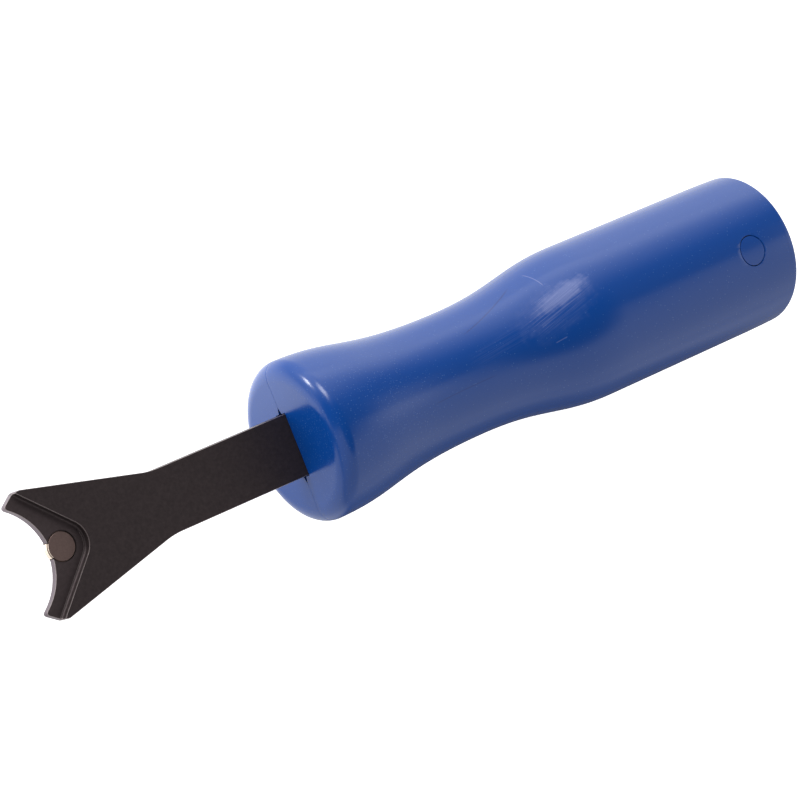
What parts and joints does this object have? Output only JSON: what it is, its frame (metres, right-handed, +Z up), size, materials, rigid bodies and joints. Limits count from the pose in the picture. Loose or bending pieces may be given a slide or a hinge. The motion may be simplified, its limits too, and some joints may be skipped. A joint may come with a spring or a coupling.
{
  "type": "fork-nosed lifting tool",
  "caption": "Hand tool with a flat black steel blade, a flared fork nose with a round pin in its concave edge, and a waisted blue plastic handle.",
  "frame": {"origin": "middle of the tool's box in X and Y, on the surface that the handle lies on", "axes": "X along the tool, -X towards the fork and +X towards the handle's rear; Y across the blade's width; +Z up, out of the blade's stepped face"},
  "size_m": [0.198, 0.0354, 0.0353],
  "materials": {
    "blue_plastic": "glossy moulded plastic with a faint orange peel",
    "black_oxide_steel": "matt black oxide",
    "bare_steel_pin": "dark satin",
    "zinc_plated_steel": "bright zinc"
  },
  "bodies": {
    "root": {"blade": "black_oxide_steel", "notch_pin": "bare_steel_pin", "handle_half_top": "blue_plastic", "handle_half_bottom": "blue_plastic", "tang_pin_front": "zinc_plated_steel", "tang_pin_rear": "zinc_plated_steel", "rear_screw": "zinc_plated_steel", "screw_plug": "blue_plastic"}
  },
  "joints": []
}
